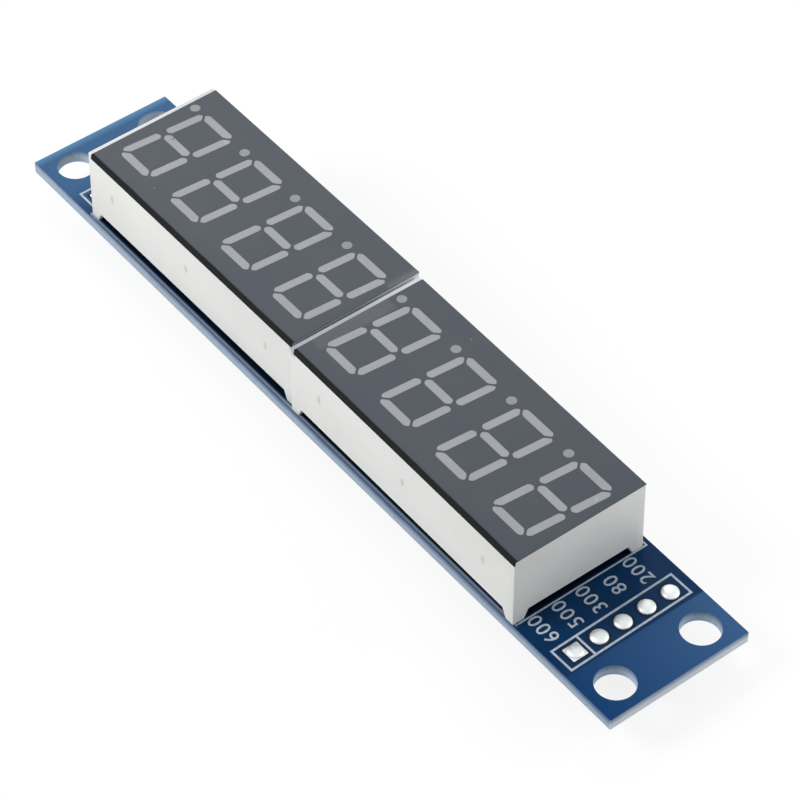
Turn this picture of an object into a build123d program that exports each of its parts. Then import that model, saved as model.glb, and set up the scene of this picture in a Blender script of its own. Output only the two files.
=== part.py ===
from build123d import *
import math
import os

# Eight digit seven-segment display module.
# A long narrow circuit board carries two four digit LED display blocks end to end.
# The driver chip and three small chip parts are soldered to the board's underside.
# Frame: origin at the centre of the four mounting holes, on the board's underside.
# +X runs from the input row of pads to the output row, +Y to the tops of the digits,
# +Z out of the display face. All sizes are in millimetres.

# circuit board
board_length = 82.0
board_side_margin = 0.4
board_thickness = 1.2
hole_radius = 1.8
hole_inset_x = 2.7
hole_inset_y = 2.8

# header pads, five in a row at each end, the first one square
pin_pitch = 2.54
pads_per_row = 5
header_insets = (7.1, 7.5)
pad_radius = 0.81
square_pad_side = 1.55
pad_thickness = 0.05
header_hole_radius = 0.5
solder_dome_height = 0.28
solder_dome_radius = 0.74
solder_dome_slope = 42.0

# display block, one of two
block_length = 30.35
block_width = 13.9
block_height = 6.75
block_draft = 0.6
block_gap = 0.12
block_joint_x = 1.675
foot_height = 1.0
foot_length = 1.0
foot_width = 1.2
foot_slope = 25.0
wall_thickness = 0.9
cavity_depth = 2.0
block_offsets_y = (0.32, 0.02)
block_turns = (-0.3, 0.3)

# dark film over each block's face
film_thickness = 0.08
film_end_margin = 0.5
film_lip_height = 0.4

# digits and their light bars
digits_per_block = 4
digit_end_margin = 0.22
digit_height = 9.25
digit_width = 4.8
digit_slant = 4.6
digit_shift_x = -0.4
digit_shift_y = 0.2
row_bar_width = 0.8
column_bar_width = 0.8
bar_gap = 0.3
bar_mitre = 0.5
bar_corner = 0.3
dot_radius = 0.5
dot_offset_x = 0.58
dot_offset_y = 0.43
well_draft = 2.0

# inside each block
carrier_thickness = 1.0
carrier_clearance = 0.1
potting_thickness = 1.0
led_side = 0.28
led_height = 0.2
block_pin_columns = 6
block_pin_row_spacing = 10.16
block_pin_side = 0.5
block_pin_tail = 1.3
block_pin_hole_radius = 0.45

# solder round the block pins
joint_base_radius = 0.84
joint_height = 0.85
joint_slope = 20.0

# small round things are drawn with a few flats
dot_sides = 10
pad_sides = 12
lower_pad_sides = 8
joint_sides = 6
barrel_sides = 6

# driver chip on the underside, with its length along X
chip_length = 15.4
chip_width = 7.5
chip_height = 2.3
chip_standoff = 0.15
chip_draft = 7.0
chip_x = 1.55
chip_dimple_radius = 0.5
chip_dimple_depth = 0.12
chip_dimple_inset = 1.3
lead_pitch = 1.27
leads_per_side = 12
lead_span = 10.3
lead_width = 0.42
lead_thickness = 0.25
lead_foot = 0.8
lead_shoulder = 0.45
lead_level = 1.2
lead_solder_side = 0.12
lead_solder_toe = 0.36

# chip resistor and capacitors beside the driver chip
passive_x = -11.0
passive_spacing = 2.6
passive_band = 0.4
passive_wrap = 0.05
passive_solder_toe = 0.45
passive_solder_rise = 0.3
resistor_size = (2.0, 1.25, 0.5)
bypass_capacitor_size = (2.0, 1.25, 0.85)
bulk_capacitor_size = (3.2, 1.6, 1.2)

# sizes and places that follow from the values above
board_width = block_width + 2 * board_side_margin
hole_x = board_length / 2 - hole_inset_x
hole_y = board_width / 2 - hole_inset_y
header_centres_x = (header_insets[0] - board_length / 2, board_length / 2 - header_insets[1])
cavity_top = foot_height + cavity_depth
block_top = foot_height + block_height
carrier_bottom = cavity_top - carrier_thickness
potting_bottom = carrier_bottom - potting_thickness
block_centres_x = (
    block_joint_x - (block_gap + block_length) / 2,
    block_joint_x + (block_gap + block_length) / 2,
)
block_names = ("left", "right")
block_count = len(block_names)
top_inset = block_height * math.tan(math.radians(block_draft))
digit_pitch = (block_length - 2 * digit_end_margin) / digits_per_block
slant = math.tan(math.radians(digit_slant))
dot_x = digit_width / 2 + dot_offset_x
dot_y = -digit_height / 2 + dot_offset_y

standing = (Align.CENTER, Align.CENTER, Align.MIN)


def block_place(index, level):
    """Where a block's own frame lies on the module, at a level above the board's underside."""
    return Location((block_centres_x[index], block_offsets_y[index], level), (0, 0, block_turns[index]))


def put_on_block(piece, index):
    """Move a piece from a block's own frame to its place on the board."""
    place = block_place(index, board_thickness)
    return [place * solid for solid in piece.solids()]


def flip_under(piece):
    """Turn a piece that was modelled standing on a board so that it hangs below one."""
    return Rot(180, 0, 0) * piece


def drafted(prism, level, angle):
    """Lean a prism's side walls inwards, away from the given level."""
    walls = [face for face in prism.faces() if abs(face.normal_at().Z) < 0.5]
    return draft(walls, Plane.XY.offset(level), angle)


def block_pin_places():
    """Pin centres in a block's own frame."""
    return [
        ((column - (block_pin_columns - 1) / 2) * pin_pitch, side * block_pin_row_spacing / 2)
        for side in (-1, 1)
        for column in range(block_pin_columns)
    ]


def header_places(x):
    """Centres of a header's pads from the first one, at the +Y side, to the last."""
    return [(x, ((pads_per_row - 1) / 2 - i) * pin_pitch) for i in range(pads_per_row)]


# circuit board and header pads

def make_board():
    """Drilled board: four mounting holes, two header rows and the holes for the block pins."""
    holes = [Pos(sx * hole_x, sy * hole_y) * Circle(hole_radius) for sx in (-1, 1) for sy in (-1, 1)]
    header_hole = RegularPolygon(header_hole_radius, barrel_sides)
    holes += [Pos(*place) * header_hole for x in header_centres_x for place in header_places(x)]
    pin_hole = RegularPolygon(block_pin_hole_radius, barrel_sides)
    for index in range(block_count):
        holes += [block_place(index, 0) * Pos(x, y) * pin_hole for x, y in block_pin_places()]
    return extrude(Rectangle(board_length, board_width) - holes, board_thickness)


def solder_dome(radius, height):
    return drafted(extrude(RegularPolygon(radius, pad_sides), height), 0, solder_dome_slope)


def make_pad(top, lower_flange):
    """Tinned hole with a flange on both faces, filled with solder that domes up on top."""
    barrel = extrude(RegularPolygon(header_hole_radius, barrel_sides), board_thickness)
    bottom = extrude(lower_flange, pad_thickness)
    return barrel + [Pos(0, 0, board_thickness) * top, Pos(0, 0, -pad_thickness) * bottom]


def make_header_pads(x):
    """One row of header pads, the first one square."""
    square_flange = Rectangle(square_pad_side, square_pad_side)
    square_top = extrude(square_flange, pad_thickness)
    square_top += Pos(0, 0, pad_thickness) * solder_dome(solder_dome_radius, solder_dome_height)
    square = make_pad(square_top, square_flange)
    round_top = solder_dome(pad_radius, pad_thickness + solder_dome_height)
    round_pad = make_pad(round_top, RegularPolygon(pad_radius, lower_pad_sides))
    places = header_places(x)
    return [Pos(*places[0]) * square] + [Pos(*place) * round_pad for place in places[1:]]


# digits

def slanted(points):
    return [(x + slant * y, y) for x, y in points]


def mirrored(points, sx, sy):
    return [(sx * x, sy * y) for x, y in points]


def bar_outlines():
    """Outlines of one digit's seven bars, as they show in the face."""
    inner_x = digit_width / 2 - column_bar_width
    outer_x = digit_width / 2
    middle_x = (inner_x + outer_x) / 2
    inner_y = digit_height / 2 - row_bar_width
    outer_y = digit_height / 2
    half_gap = bar_gap / 2
    half_row = row_bar_width / 2

    end_right = [
        (inner_x - half_gap, inner_y),
        (inner_x - half_gap + bar_mitre, inner_y + bar_mitre),
        (inner_x - half_gap + bar_mitre - bar_corner, outer_y),
    ]
    end_bar = end_right + mirrored(end_right[::-1], -1, 1)

    middle_right = [
        (inner_x - half_gap, half_row),
        (inner_x + half_gap, 0),
        (inner_x - half_gap, -half_row),
    ]
    middle_bar = middle_right + mirrored(middle_right[::-1], -1, 1)

    column_bar = [
        (inner_x, inner_y - half_gap),
        (inner_x + bar_mitre, inner_y - half_gap + bar_mitre),
        (outer_x, inner_y - half_gap + bar_mitre - bar_corner),
        (outer_x, half_row + half_gap),
        (middle_x, bar_gap),
        (inner_x, half_row + half_gap),
    ]
    bars = [end_bar, mirrored(end_bar, 1, -1), middle_bar]
    bars += [mirrored(column_bar, sx, sy) for sx in (-1, 1) for sy in (-1, 1)]
    return [slanted(bar) for bar in bars]


def bar_centre(outline):
    xs = [x for x, y in outline]
    ys = [y for x, y in outline]
    return ((min(xs) + max(xs)) / 2, (min(ys) + max(ys)) / 2)


def digit_places():
    return [
        ((i - (digits_per_block - 1) / 2) * digit_pitch + digit_shift_x, digit_shift_y)
        for i in range(digits_per_block)
    ]


def digit_fields():
    """The eight lit fields of one digit: seven bars and the decimal point."""
    fields = [Polygon(*outline, align=None) for outline in bar_outlines()]
    fields.append(Pos(dot_x, dot_y) * RegularPolygon(dot_radius, dot_sides))
    return fields


def led_places():
    return [bar_centre(outline) for outline in bar_outlines()] + [(dot_x, dot_y)]


def make_lit_forms(depth):
    """Tapered forms below one digit's fields, each wide at the face and narrower at its LED."""
    prisms = [extrude(Pos(0, 0, block_top) * field, depth, dir=(0, 0, -1)) for field in digit_fields()]
    return [drafted(prism, block_top, -well_draft) for prism in prisms]


def make_light_bars():
    """Resin that fills the light wells from the LEDs up to the face."""
    return make_lit_forms(block_top - cavity_top - led_height)


def make_leds():
    """One LED chip on the inner board below each bar and point."""
    led = Pos(0, 0, cavity_top) * Box(led_side, led_side, led_height, align=standing)
    return [Pos(x + led_x, y + led_y) * led for x, y in digit_places() for led_x, led_y in led_places()]


# display block

def make_foot():
    """Corner foot whose two inner sides lean out from its sole."""
    reach = foot_height * math.tan(math.radians(foot_slope))
    corner = (Align.MAX, Align.MAX, Align.MIN)
    foot = Box(foot_length, foot_width, foot_height, align=corner)
    inner_sides = [face for face in foot.faces() if face.normal_at().X < -0.5 or face.normal_at().Y < -0.5]
    foot = draft(inner_sides, Plane.XY, -foot_slope)
    return Pos(block_length / 2, block_width / 2) * foot


def make_housing():
    """White moulding: four drafted walls on corner feet, light wells and an open back."""
    body = Pos(0, 0, foot_height) * Box(block_length, block_width, block_height, align=standing)
    body = drafted(body, foot_height, block_draft)
    body -= Pos(0, 0, foot_height) * Box(
        block_length - 2 * wall_thickness,
        block_width - 2 * wall_thickness,
        cavity_depth,
        align=standing,
    )
    wells = make_lit_forms(block_top - cavity_top)
    for x, y in digit_places():
        body -= [Pos(x, y) * well for well in wells]
    foot = make_foot()
    other = mirror(foot, Plane.YZ)
    return body + [foot, other, mirror(foot, Plane.XZ), mirror(other, Plane.XZ)]


def make_film():
    """Thin dark film with a window for each lit field and a lip down the +Y wall."""
    length = block_length - 2 * top_inset - film_end_margin
    width = block_width - 2 * top_inset
    centre_x = -film_end_margin / 2
    sheet = Pos(centre_x, 0) * Rectangle(length, width)
    for x, y in digit_places():
        sheet -= [Pos(x, y) * field for field in digit_fields()]
    film = extrude(Pos(0, 0, block_top) * sheet, film_thickness)
    half = width / 2
    flare = film_lip_height * math.tan(math.radians(block_draft))
    lip_profile = Polyline(
        (half, block_top + film_thickness),
        (half, block_top),
        (half + flare, block_top - film_lip_height),
        (half + flare + film_thickness, block_top - film_lip_height),
        (half + film_thickness, block_top),
        close=True,
    )
    lip = extrude(Plane.YZ * make_face(lip_profile), length)
    return film + Pos(centre_x - length / 2, 0) * lip


def make_carrier():
    """Inner board that the LEDs are bonded to."""
    length = block_length - 2 * wall_thickness - 2 * carrier_clearance
    width = block_width - 2 * wall_thickness - 2 * carrier_clearance
    return Pos(0, 0, carrier_bottom) * Box(length, width, carrier_thickness, align=standing)


def make_block_pins():
    """Twelve square pins from the inner board, trimmed below the module's board."""
    low = -board_thickness - block_pin_tail
    pin = Pos(0, 0, low) * Box(block_pin_side, block_pin_side, carrier_bottom - low, align=standing)
    return [Pos(x, y) * pin for x, y in block_pin_places()]


def make_potting():
    """Resin that seals the back of the block round its pins."""
    length = block_length - 2 * wall_thickness
    width = block_width - 2 * wall_thickness
    slab = Pos(0, 0, potting_bottom) * Box(length, width, potting_thickness, align=standing)
    return slab - make_block_pins()


def make_pin_joints():
    """Solder cones round a block's pins under the module's board."""
    cone = drafted(extrude(RegularPolygon(joint_base_radius, joint_sides), joint_height), 0, joint_slope)
    cone -= extrude(Rectangle(block_pin_side, block_pin_side), joint_height)
    return [Pos(x, y, -board_thickness) * flip_under(cone) for x, y in block_pin_places()]


# driver chip, modelled standing on a board and then flipped under it

def make_chip_body():
    """Moulded body, drafted both ways from the level of its leads, with a dimple at the first one."""
    middle = chip_standoff + lead_level - lead_thickness / 2
    top = chip_standoff + chip_height
    outline = Pos(0, 0, middle) * Rectangle(chip_length, chip_width)
    upper = drafted(extrude(outline, top - middle), middle, chip_draft)
    lower = drafted(extrude(outline, middle - chip_standoff, dir=(0, 0, -1)), middle, -chip_draft)
    dimple_x = -chip_length / 2 + chip_dimple_inset
    dimple_y = -chip_width / 2 + chip_dimple_inset
    dimple = Pos(dimple_x, dimple_y, top) * RegularPolygon(chip_dimple_radius, dot_sides)
    body = upper + lower - extrude(dimple, chip_dimple_depth, dir=(0, 0, -1))
    return Pos(chip_x) * flip_under(body)


def repeated_leads(piece):
    """A piece at the +Y side's middle, repeated at every lead on both sides."""
    other = mirror(piece, Plane.XZ)
    places = [(i - (leads_per_side - 1) / 2) * lead_pitch for i in range(leads_per_side)]
    return [Pos(chip_x) * flip_under(Pos(x) * side) for side in (piece, other) for x in places]


def make_chip_leads():
    """Gull-wing leads, each a folded strip."""
    top = chip_standoff + lead_level
    toe = lead_span / 2
    knee = chip_width / 2 + lead_shoulder
    heel = toe - lead_foot
    profile = Polyline(
        (chip_width / 2, top),
        (knee, top),
        (heel + lead_thickness, lead_thickness),
        (toe, lead_thickness),
        (toe, 0),
        (heel, 0),
        (knee - lead_thickness, top - lead_thickness),
        (chip_width / 2, top - lead_thickness),
        close=True,
    )
    return repeated_leads(extrude(Plane.YZ * make_face(profile), lead_width / 2, both=True))


def make_chip_solder():
    """A small solder fillet at each lead's toe."""
    toe = lead_span / 2
    profile = Polyline((toe, 0), (toe + lead_solder_toe, 0), (toe, lead_thickness), close=True)
    half_width = lead_width / 2 + lead_solder_side
    return repeated_leads(extrude(Plane.YZ * make_face(profile), half_width, both=True))


# chip resistor and capacitors

def passive_parts(size, y):
    """Body, end caps and solder of one two-ended chip part."""
    length, width, height = size
    place = Pos(passive_x, y)
    body = Pos(0, 0, passive_wrap) * Box(
        length - 2 * passive_wrap,
        width - 2 * passive_wrap,
        height - 2 * passive_wrap,
        align=standing,
    )
    band = Box(passive_band, width, height, align=standing)
    caps = [Pos(side * (length - passive_band) / 2) * band - body for side in (-1, 1)]
    profile = Polyline(
        (length / 2, 0),
        (length / 2 + passive_solder_toe, 0),
        (length / 2, passive_solder_rise),
        close=True,
    )
    wedge = extrude(Plane.XZ * make_face(profile), width / 2, both=True)
    return (
        [place * flip_under(body)],
        [place * flip_under(cap) for cap in caps],
        [place * flip_under(piece) for piece in (wedge, mirror(wedge, Plane.YZ))],
    )


# write one file per piece

os.makedirs("parts", exist_ok=True)


def save(name, solids):
    group = solids[0] if len(solids) == 1 else Compound(children=list(solids))
    group.label = name
    export_step(group, os.path.join("parts", name + ".step"))


save("circuit_board", make_board().solids())
save("input_header_pads", make_header_pads(header_centres_x[0]))
save("output_header_pads", make_header_pads(header_centres_x[1]))

light_bars = make_light_bars()
pin_joints = Compound(children=make_pin_joints())
block_pieces = {
    "display_housing": make_housing(),
    "face_film": make_film(),
    "carrier_board": make_carrier(),
    "led_chips": Compound(children=make_leds()),
    "display_pins": Compound(children=make_block_pins()),
    "back_potting": make_potting(),
}
solder_cones = []
for index, side in enumerate(block_names):
    for piece_name, piece in block_pieces.items():
        save(side + "_" + piece_name, put_on_block(piece, index))
    for place, (x, y) in enumerate(digit_places()):
        number = index * digits_per_block + place + 1
        bars = Compound(children=[Pos(x, y) * bar for bar in light_bars])
        save("digit_" + str(number) + "_light_bars", put_on_block(bars, index))
    solder_cones += put_on_block(pin_joints, index)
save("display_pin_solder", solder_cones)

save("driver_chip_body", make_chip_body().solids())
save("driver_chip_leads", make_chip_leads())
save("driver_chip_solder", make_chip_solder())

passives = {
    "bulk_capacitor": (bulk_capacitor_size, passive_spacing),
    "bypass_capacitor": (bypass_capacitor_size, 0),
    "set_resistor": (resistor_size, -passive_spacing),
}
passive_solder = []
for name, (size, y) in passives.items():
    body, caps, solder = passive_parts(size, y)
    save(name + "_body", body)
    save(name + "_caps", caps)
    passive_solder += solder
save("passive_solder", passive_solder)
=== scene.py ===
import math
import random
import bmesh
import bpy
from mathutils import Matrix, Vector


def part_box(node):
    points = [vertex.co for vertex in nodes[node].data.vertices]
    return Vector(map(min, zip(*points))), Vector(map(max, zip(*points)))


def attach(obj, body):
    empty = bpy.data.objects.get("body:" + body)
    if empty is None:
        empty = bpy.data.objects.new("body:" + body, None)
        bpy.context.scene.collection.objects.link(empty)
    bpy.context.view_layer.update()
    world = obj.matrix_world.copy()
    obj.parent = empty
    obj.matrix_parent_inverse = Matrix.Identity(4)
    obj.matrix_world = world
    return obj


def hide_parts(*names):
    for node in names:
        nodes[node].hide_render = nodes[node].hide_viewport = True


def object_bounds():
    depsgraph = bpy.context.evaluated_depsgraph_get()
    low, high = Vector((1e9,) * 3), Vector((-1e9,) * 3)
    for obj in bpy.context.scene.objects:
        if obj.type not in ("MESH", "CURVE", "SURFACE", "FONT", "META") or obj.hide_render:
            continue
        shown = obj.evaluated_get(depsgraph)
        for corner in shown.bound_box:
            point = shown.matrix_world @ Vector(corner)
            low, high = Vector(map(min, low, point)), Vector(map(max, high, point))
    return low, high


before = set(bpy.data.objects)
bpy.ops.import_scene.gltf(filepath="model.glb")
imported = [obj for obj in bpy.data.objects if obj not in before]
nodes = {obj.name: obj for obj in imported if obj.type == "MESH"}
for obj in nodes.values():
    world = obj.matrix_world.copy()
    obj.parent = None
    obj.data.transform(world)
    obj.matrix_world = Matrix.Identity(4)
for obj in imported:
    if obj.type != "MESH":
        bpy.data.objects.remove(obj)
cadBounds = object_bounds()
print("frame loaded,", len(nodes), "nodes")

mm = 0.001
near = 0.01 * mm  # two levels closer than this count as one
merge = 0.0005 * mm  # corners closer than this are one corner
flatWithin = math.radians(1)  # faces that turn by less than this are one face
scene = bpy.context.scene
scene.view_settings.view_transform = "Standard"
random.seed(7)

# levels and places that come from the frame
boardLow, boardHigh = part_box("circuit_board")
boardTop = boardHigh.z
boardUnder = boardLow.z
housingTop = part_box("left_display_housing")[1].z
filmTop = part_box("left_face_film")[1].z
sides = ("left", "right")
ends = ("input", "output")
blockTurn = {"left": math.radians(-0.3), "right": math.radians(0.3)}
digitsOf = {"left": (1, 2, 3, 4), "right": (5, 6, 7, 8)}


def blockMatrix(side):
    # takes a block's own frame, on the board's top, to the module's frame
    low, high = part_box(side + "_display_housing")
    centre = (low + high) / 2
    return Matrix.Translation((centre.x, centre.y, boardTop)) @ Matrix.Rotation(blockTurn[side], 4, "Z")


def placed(bm, matrix):
    bmesh.ops.transform(bm, matrix=matrix, verts=bm.verts)


# finishes

def setSockets(node, values):
    # a socket's name is written with _ for a space
    for name, value in values.items():
        node.inputs[name.replace("_", " ")].default_value = value


def newNode(tree, kind, **values):
    node = tree.nodes.new("ShaderNode" + kind)
    setSockets(node, values)
    return node


class Paint:
    # a material with short calls for the nodes that the finishes share

    def __init__(self, name):
        self.material = bpy.data.materials.new(name)
        self.material.use_nodes = True
        self.tree = self.material.node_tree
        self.links = self.tree.links
        self.shader = self.tree.nodes["Principled BSDF"]
        self.where = newNode(self.tree, "TexCoord").outputs["Object"]

    def noise(self, scale, detail=3.0, rough=0.5, stretch=(1, 1, 1)):
        mapping = newNode(self.tree, "Mapping", Scale=stretch)
        tex = newNode(self.tree, "TexNoise", Scale=scale, Detail=detail, Roughness=rough)
        self.links.new(self.where, mapping.inputs["Vector"])
        self.links.new(mapping.outputs["Vector"], tex.inputs["Vector"])
        return tex.outputs["Fac"]

    def ramp(self, source, low=0.3, high=0.7, lowOut=0.0, highOut=1.0):
        # a noise's values lie mostly between 0.3 and 0.7
        node = newNode(self.tree, "MapRange", From_Min=low, From_Max=high, To_Min=lowOut, To_Max=highOut)
        self.links.new(source, node.inputs["Value"])
        return node.outputs["Result"]

    def maths(self, kind, a, b):
        node = newNode(self.tree, "Math")
        node.operation = kind
        for socket, value in zip(node.inputs, (a, b)):
            if isinstance(value, (int, float)):
                socket.default_value = value
            else:
                self.links.new(value, socket)
        return node.outputs[0]

    def mix(self, factor, a, b):
        node = newNode(self.tree, "Mix")
        node.data_type = "RGBA"
        self.links.new(factor, node.inputs[0])
        for socket, value in ((node.inputs[6], a), (node.inputs[7], b)):
            if isinstance(value, tuple):
                socket.default_value = (*value, 1)
            else:
                self.links.new(value, socket)
        return node.outputs[2]

    def axis(self, name, source=None):
        node = newNode(self.tree, "SeparateXYZ")
        self.links.new(source or self.where, node.inputs[0])
        return node.outputs[name]

    def facing(self, name):
        return self.axis(name, newNode(self.tree, "NewGeometry").outputs["Normal"])

    def patch(self, low, high, soft):
        # 1 inside a rectangle of the plan, fading to 0 over the soft width outside it
        total = None
        for i, name in enumerate(("X", "Y")):
            along = self.axis(name)
            rise = self.ramp(along, low[i] - soft, low[i])
            fall = self.ramp(along, high[i], high[i] + soft, 1, 0)
            both = self.maths("MULTIPLY", rise, fall)
            total = both if total is None else self.maths("MULTIPLY", total, both)
        return total

    def multiply(self, a, b):
        # the product of two colours
        node = newNode(self.tree, "Mix")
        node.data_type = "RGBA"
        node.blend_type = "MULTIPLY"
        node.inputs[0].default_value = 1
        self.links.new(a, node.inputs[6])
        self.links.new(b, node.inputs[7])
        return node.outputs[2]

    def clouded(self, source, dark, light):
        return self.mix(self.ramp(source), dark, light)

    def bump(self, height, strength, depth):
        node = newNode(self.tree, "Bump", Strength=strength, Distance=depth)
        self.links.new(height, node.inputs["Height"])
        self.links.new(node.outputs["Normal"], self.shader.inputs["Normal"])

    def colour(self, source):
        self.links.new(source, self.shader.inputs["Base Color"])

    def roughness(self, source):
        self.links.new(source, self.shader.inputs["Roughness"])

    def uneven(self, source, rough, less, more):
        # a roughness that wanders about its middle
        self.roughness(self.ramp(source, lowOut=rough - less, highOut=rough + more))

    def fixed(self, **values):
        setSockets(self.shader, values)


maskPaint = {
    "deep": (0.002, 0.032, 0.105),
    "light": (0.004, 0.039, 0.118),
    "planeDark": (0.002, 0.049, 0.166),  # over the copper at the input end, from its +Y edge, where it is darker as painted shade
    "planePale": (0.041, 0.114, 0.264),  # to its -Y edge
    "planeStart": 35.4 * mm,
    "planeSoft": 0.15 * mm,
    "farPaintedLight": (0.045, 0.132, 0.287),  # painted light: lighter at the output end
    "farStart": (32.0 * mm, 36.0 * mm),
    "farRimHighlight": (0.111, 0.287, 0.483),  # a painted highlight along the last cut edge
    "farRimHighlightFrom": (40.15 * mm, 41.0 * mm),
    "strip": (0.115, 0.165, 0.235),  # painted light beside the blocks along the +Y edge, where the white walls reflect in the mask
    "stripFrom": (6.85 * mm, 7.0 * mm),
    "stripEnds": (-28.4 * mm, 31.8 * mm),
    "stripSoft": 0.4 * mm,
    "shaded": (0.002, 0.006, 0.016),  # under the display blocks
    "shadeInset": 0.3 * mm,
    "topSide": 0.6 * mm,
    "edgeTop": (0.060, 0.130, 0.280),
    "edgeLow": (0.410, 0.500, 0.610),
    "edgeFade": (0.0 * mm, 0.70 * mm),
    "edgeShift": (0.05 * mm, -0.22 * mm),  # the fade starts lower at the input end
    "litEndTop": (0.200, 0.280, 0.420),  # painted light: the edge at the input end is paler, as if more light fell on it
    "litEndLow": (0.740, 0.800, 0.860),
    "endReach": 0.1 * mm,
    "holeTop": (0.130, 0.240, 0.380),  # the walls of the bolt holes
    "holeLow": (0.540, 0.640, 0.760),
    "holeInset": 0.2 * mm,
    "ragged": 0.12 * mm,
    "raggedGrain": 320,
    "fibreDark": 0.80,
    "fibreGrain": 2600,
    "fibreStretch": (1, 1, 4),
    "cutEdge": 0.5,  # how far a face must lean before it counts as a cut edge
    "cutRough": 0.62,
    "rough": 0.34,
    "gloss": 0.07,
    "cloudGrain": 90,
    "orangePeel": {"grain": 1500, "strength": 0.12, "depth": 0.02 * mm},
}


def maskSurface(paint, along, across, height):
    # the mask seen from above or below
    cloud = paint.noise(maskPaint["cloudGrain"], 4, 0.6)
    mask = paint.clouded(cloud, maskPaint["deep"], maskPaint["light"])
    # the copper plane, darker towards its +Y edge as painted shade
    plane = paint.mix(
        paint.ramp(across, boardHigh.y, boardLow.y), maskPaint["planeDark"], maskPaint["planePale"],
    )
    start = -maskPaint["planeStart"]
    mask = paint.mix(paint.ramp(along, start, start - maskPaint["planeSoft"]), mask, plane)
    # painted light over the output end
    mask = paint.mix(paint.ramp(along, *maskPaint["farStart"]), mask, maskPaint["farPaintedLight"])
    # painted highlight along the output end's last cut edge
    mask = paint.mix(paint.ramp(along, *maskPaint["farRimHighlightFrom"]), mask, maskPaint["farRimHighlight"])
    topSide = paint.maths("GREATER_THAN", height, maskPaint["topSide"])
    # painted light on the mask along the +Y edge beside the blocks
    first, last = maskPaint["stripEnds"]
    stripLow, stripHigh = maskPaint["stripFrom"]
    strip = paint.patch((first, stripLow), (last, boardHigh.y), maskPaint["stripSoft"])
    strip = paint.maths("MULTIPLY", strip, paint.ramp(across, stripLow, stripHigh))
    mask = paint.mix(paint.maths("MULTIPLY", strip, topSide), mask, maskPaint["strip"])
    inset = maskPaint["shadeInset"]
    for side in sides:
        low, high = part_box(side + "_display_housing")
        shade = paint.patch((low.x + inset, low.y + inset), (high.x - inset, high.y - inset), inset)
        shade = paint.maths("MULTIPLY", shade, paint.ramp(across, stripHigh, stripLow))
        mask = paint.mix(paint.maths("MULTIPLY", shade, topSide), mask, maskPaint["shaded"])
    return mask


def maskEdges(paint, along, height):
    # the cut edges and the holes' walls, which get paler downwards and show the glass fibre
    reach = maskPaint["ragged"]
    wave = paint.ramp(paint.noise(maskPaint["raggedGrain"], 3, 0.6), 0.2, 0.8, -reach, reach)
    shift = paint.ramp(along, boardLow.x, boardHigh.x, *maskPaint["edgeShift"])
    ragged = paint.maths("ADD", paint.maths("ADD", height, wave), shift)
    fadeHigh, fadeLow = maskPaint["edgeFade"]
    fade = paint.ramp(ragged, boardTop - fadeHigh, boardTop - fadeLow)
    edge = paint.mix(fade, maskPaint["edgeTop"], maskPaint["edgeLow"])
    # painted light on the cut edge at the input end
    litEndEdge = paint.mix(fade, maskPaint["litEndTop"], maskPaint["litEndLow"])
    atEnd = paint.maths("LESS_THAN", along, boardLow.x + maskPaint["endReach"])
    edge = paint.mix(atEnd, edge, litEndEdge)
    holeEdge = paint.mix(fade, maskPaint["holeTop"], maskPaint["holeLow"])
    margin = maskPaint["holeInset"]
    inside = paint.patch(
        (boardLow.x + margin, boardLow.y + margin), (boardHigh.x - margin, boardHigh.y - margin), margin / 2,
    )
    edge = paint.mix(inside, edge, holeEdge)
    fleck = paint.noise(maskPaint["fibreGrain"], 4, 0.7, maskPaint["fibreStretch"])
    dull = paint.mix(paint.ramp(fleck, 0.25, 0.6), (maskPaint["fibreDark"],) * 3, (1.0, 1.0, 1.0))
    return paint.multiply(edge, dull)


def orangePeel(paint):
    # the fine waviness of a coat of solder mask
    peel = maskPaint["orangePeel"]
    paint.bump(paint.noise(peel["grain"], 3, 0.5), peel["strength"], peel["depth"])


def makeMask():
    paint = Paint("solderMask")
    along, across, height = (paint.axis(name) for name in "XYZ")
    surface = maskSurface(paint, along, across, height)
    edges = maskEdges(paint, along, height)
    flat = paint.maths("GREATER_THAN", paint.maths("ABSOLUTE", paint.facing("Z"), 0), maskPaint["cutEdge"])
    paint.colour(paint.mix(flat, edges, surface))
    paint.roughness(paint.ramp(flat, 0, 1, maskPaint["cutRough"], maskPaint["rough"]))
    paint.fixed(Specular_IOR_Level=maskPaint["gloss"])
    orangePeel(paint)
    return paint.material


tracePaint = {"dark": (0.016, 0.088, 0.225), "light": (0.022, 0.105, 0.260), "rough": 0.30}


def makeTrace():
    # the mask where it lies over a copper track
    paint = Paint("maskOverCopper")
    cloud = paint.noise(maskPaint["cloudGrain"], 4, 0.6)
    paint.colour(paint.clouded(cloud, tracePaint["dark"], tracePaint["light"]))
    paint.fixed(Roughness=tracePaint["rough"], Specular_IOR_Level=maskPaint["gloss"])
    orangePeel(paint)
    return paint.material


laminatePaint = {
    "dark": (0.010, 0.018, 0.040),
    "light": (0.018, 0.028, 0.056),
    "rough": 0.5,
    "gloss": 0.08,
    "weave": 2200,
    "grain": 3000,
    "depth": 0.02 * mm,
}


def makeLaminate():
    paint = Paint("bareLaminate")
    weave = paint.noise(laminatePaint["weave"], 3)
    paint.colour(paint.clouded(weave, laminatePaint["dark"], laminatePaint["light"]))
    paint.fixed(Roughness=laminatePaint["rough"], Specular_IOR_Level=laminatePaint["gloss"])
    paint.bump(paint.noise(laminatePaint["grain"], 2), 0.15, laminatePaint["depth"])
    return paint.material


silkPaint = {
    "dark": (0.40, 0.48, 0.58),
    "pale": (0.60, 0.66, 0.74),
    "dimInk": (0.25, 0.32, 0.43),  # dimmer along the +Y edge, beside the blocks
    "dimInkFrom": (6.75 * mm, 6.9 * mm),
    "wearGrain": 2600,
    "wearRange": (0.35, 0.62),
    "rough": 0.6,
    "gloss": 0.3,
    "depth": 0.015 * mm,
}


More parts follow.
